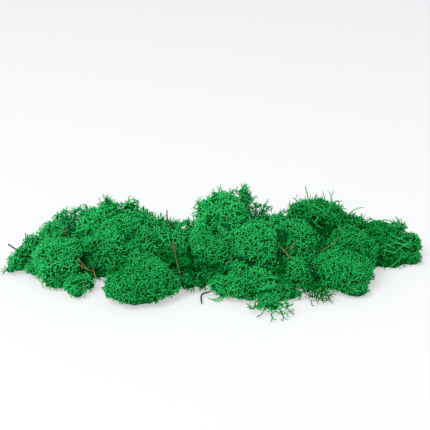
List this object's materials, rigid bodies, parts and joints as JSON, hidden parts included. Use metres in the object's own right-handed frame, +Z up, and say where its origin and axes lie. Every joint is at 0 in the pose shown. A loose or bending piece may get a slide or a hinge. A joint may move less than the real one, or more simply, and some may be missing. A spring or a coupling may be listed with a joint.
{
  "type": "preserved reindeer moss",
  "caption": "Low, irregular heap of soft preserved reindeer moss: entangled green lichen cushions with dry needles and twigs caught in them, for wreaths, pots and table displays.",
  "frame": {"origin": "middle of the heap's footprint, on the table", "axes": "+X along the heap, +Y away from the viewer, +Z up"},
  "size_m": [0.4038, 0.1646, 0.0826],
  "materials": {
    "moss": "matte, dyed green, soft and springy",
    "bare_stalk": "matte, dark green",
    "dry_wood": "dry, brown"
  },
  "bodies": {
    "root": {"cushion_far_left": "moss", "cushion_left_slope": "moss", "cushion_left_peak": "moss", "cushion_left_shoulder": "moss", "cushion_left_middle": "moss", "cushion_left_lobe": "moss", "cushion_left_lap": "moss", "cushion_left_inner": "moss", "cushion_front_left": "moss", "cushion_saddle": "moss", "cushion_saddle_back": "moss", "cushion_centre_foot": "moss", "cushion_centre_left": "moss", "cushion_peak": "moss", "cushion_peak_knob": "moss", "cushion_back_foot": "moss", "cushion_back_ridge": "moss", "cushion_centre": "moss", "cushion_front_centre": "moss", "cushion_front_tail": "moss", "cushion_front_round": "moss", "cushion_right_inner": "moss", "cushion_right_peak": "moss", "cushion_right_middle": "moss", "cushion_right_front": "moss", "cushion_right_arm": "moss", "cushion_far_right": "moss", "twig_far_left": "dry_wood", "twig_left_stem": "dry_wood", "needle_pair_left": "dry_wood", "needle_left_curved": "dry_wood", "twig_standing": "dry_wood", "stalk_saddle": "dry_wood", "needle_centre_right": "dry_wood", "needle_centre_short": "dry_wood", "needle_right_curved": "dry_wood", "stalk_front": "bare_stalk"}
  },
  "joints": []
}
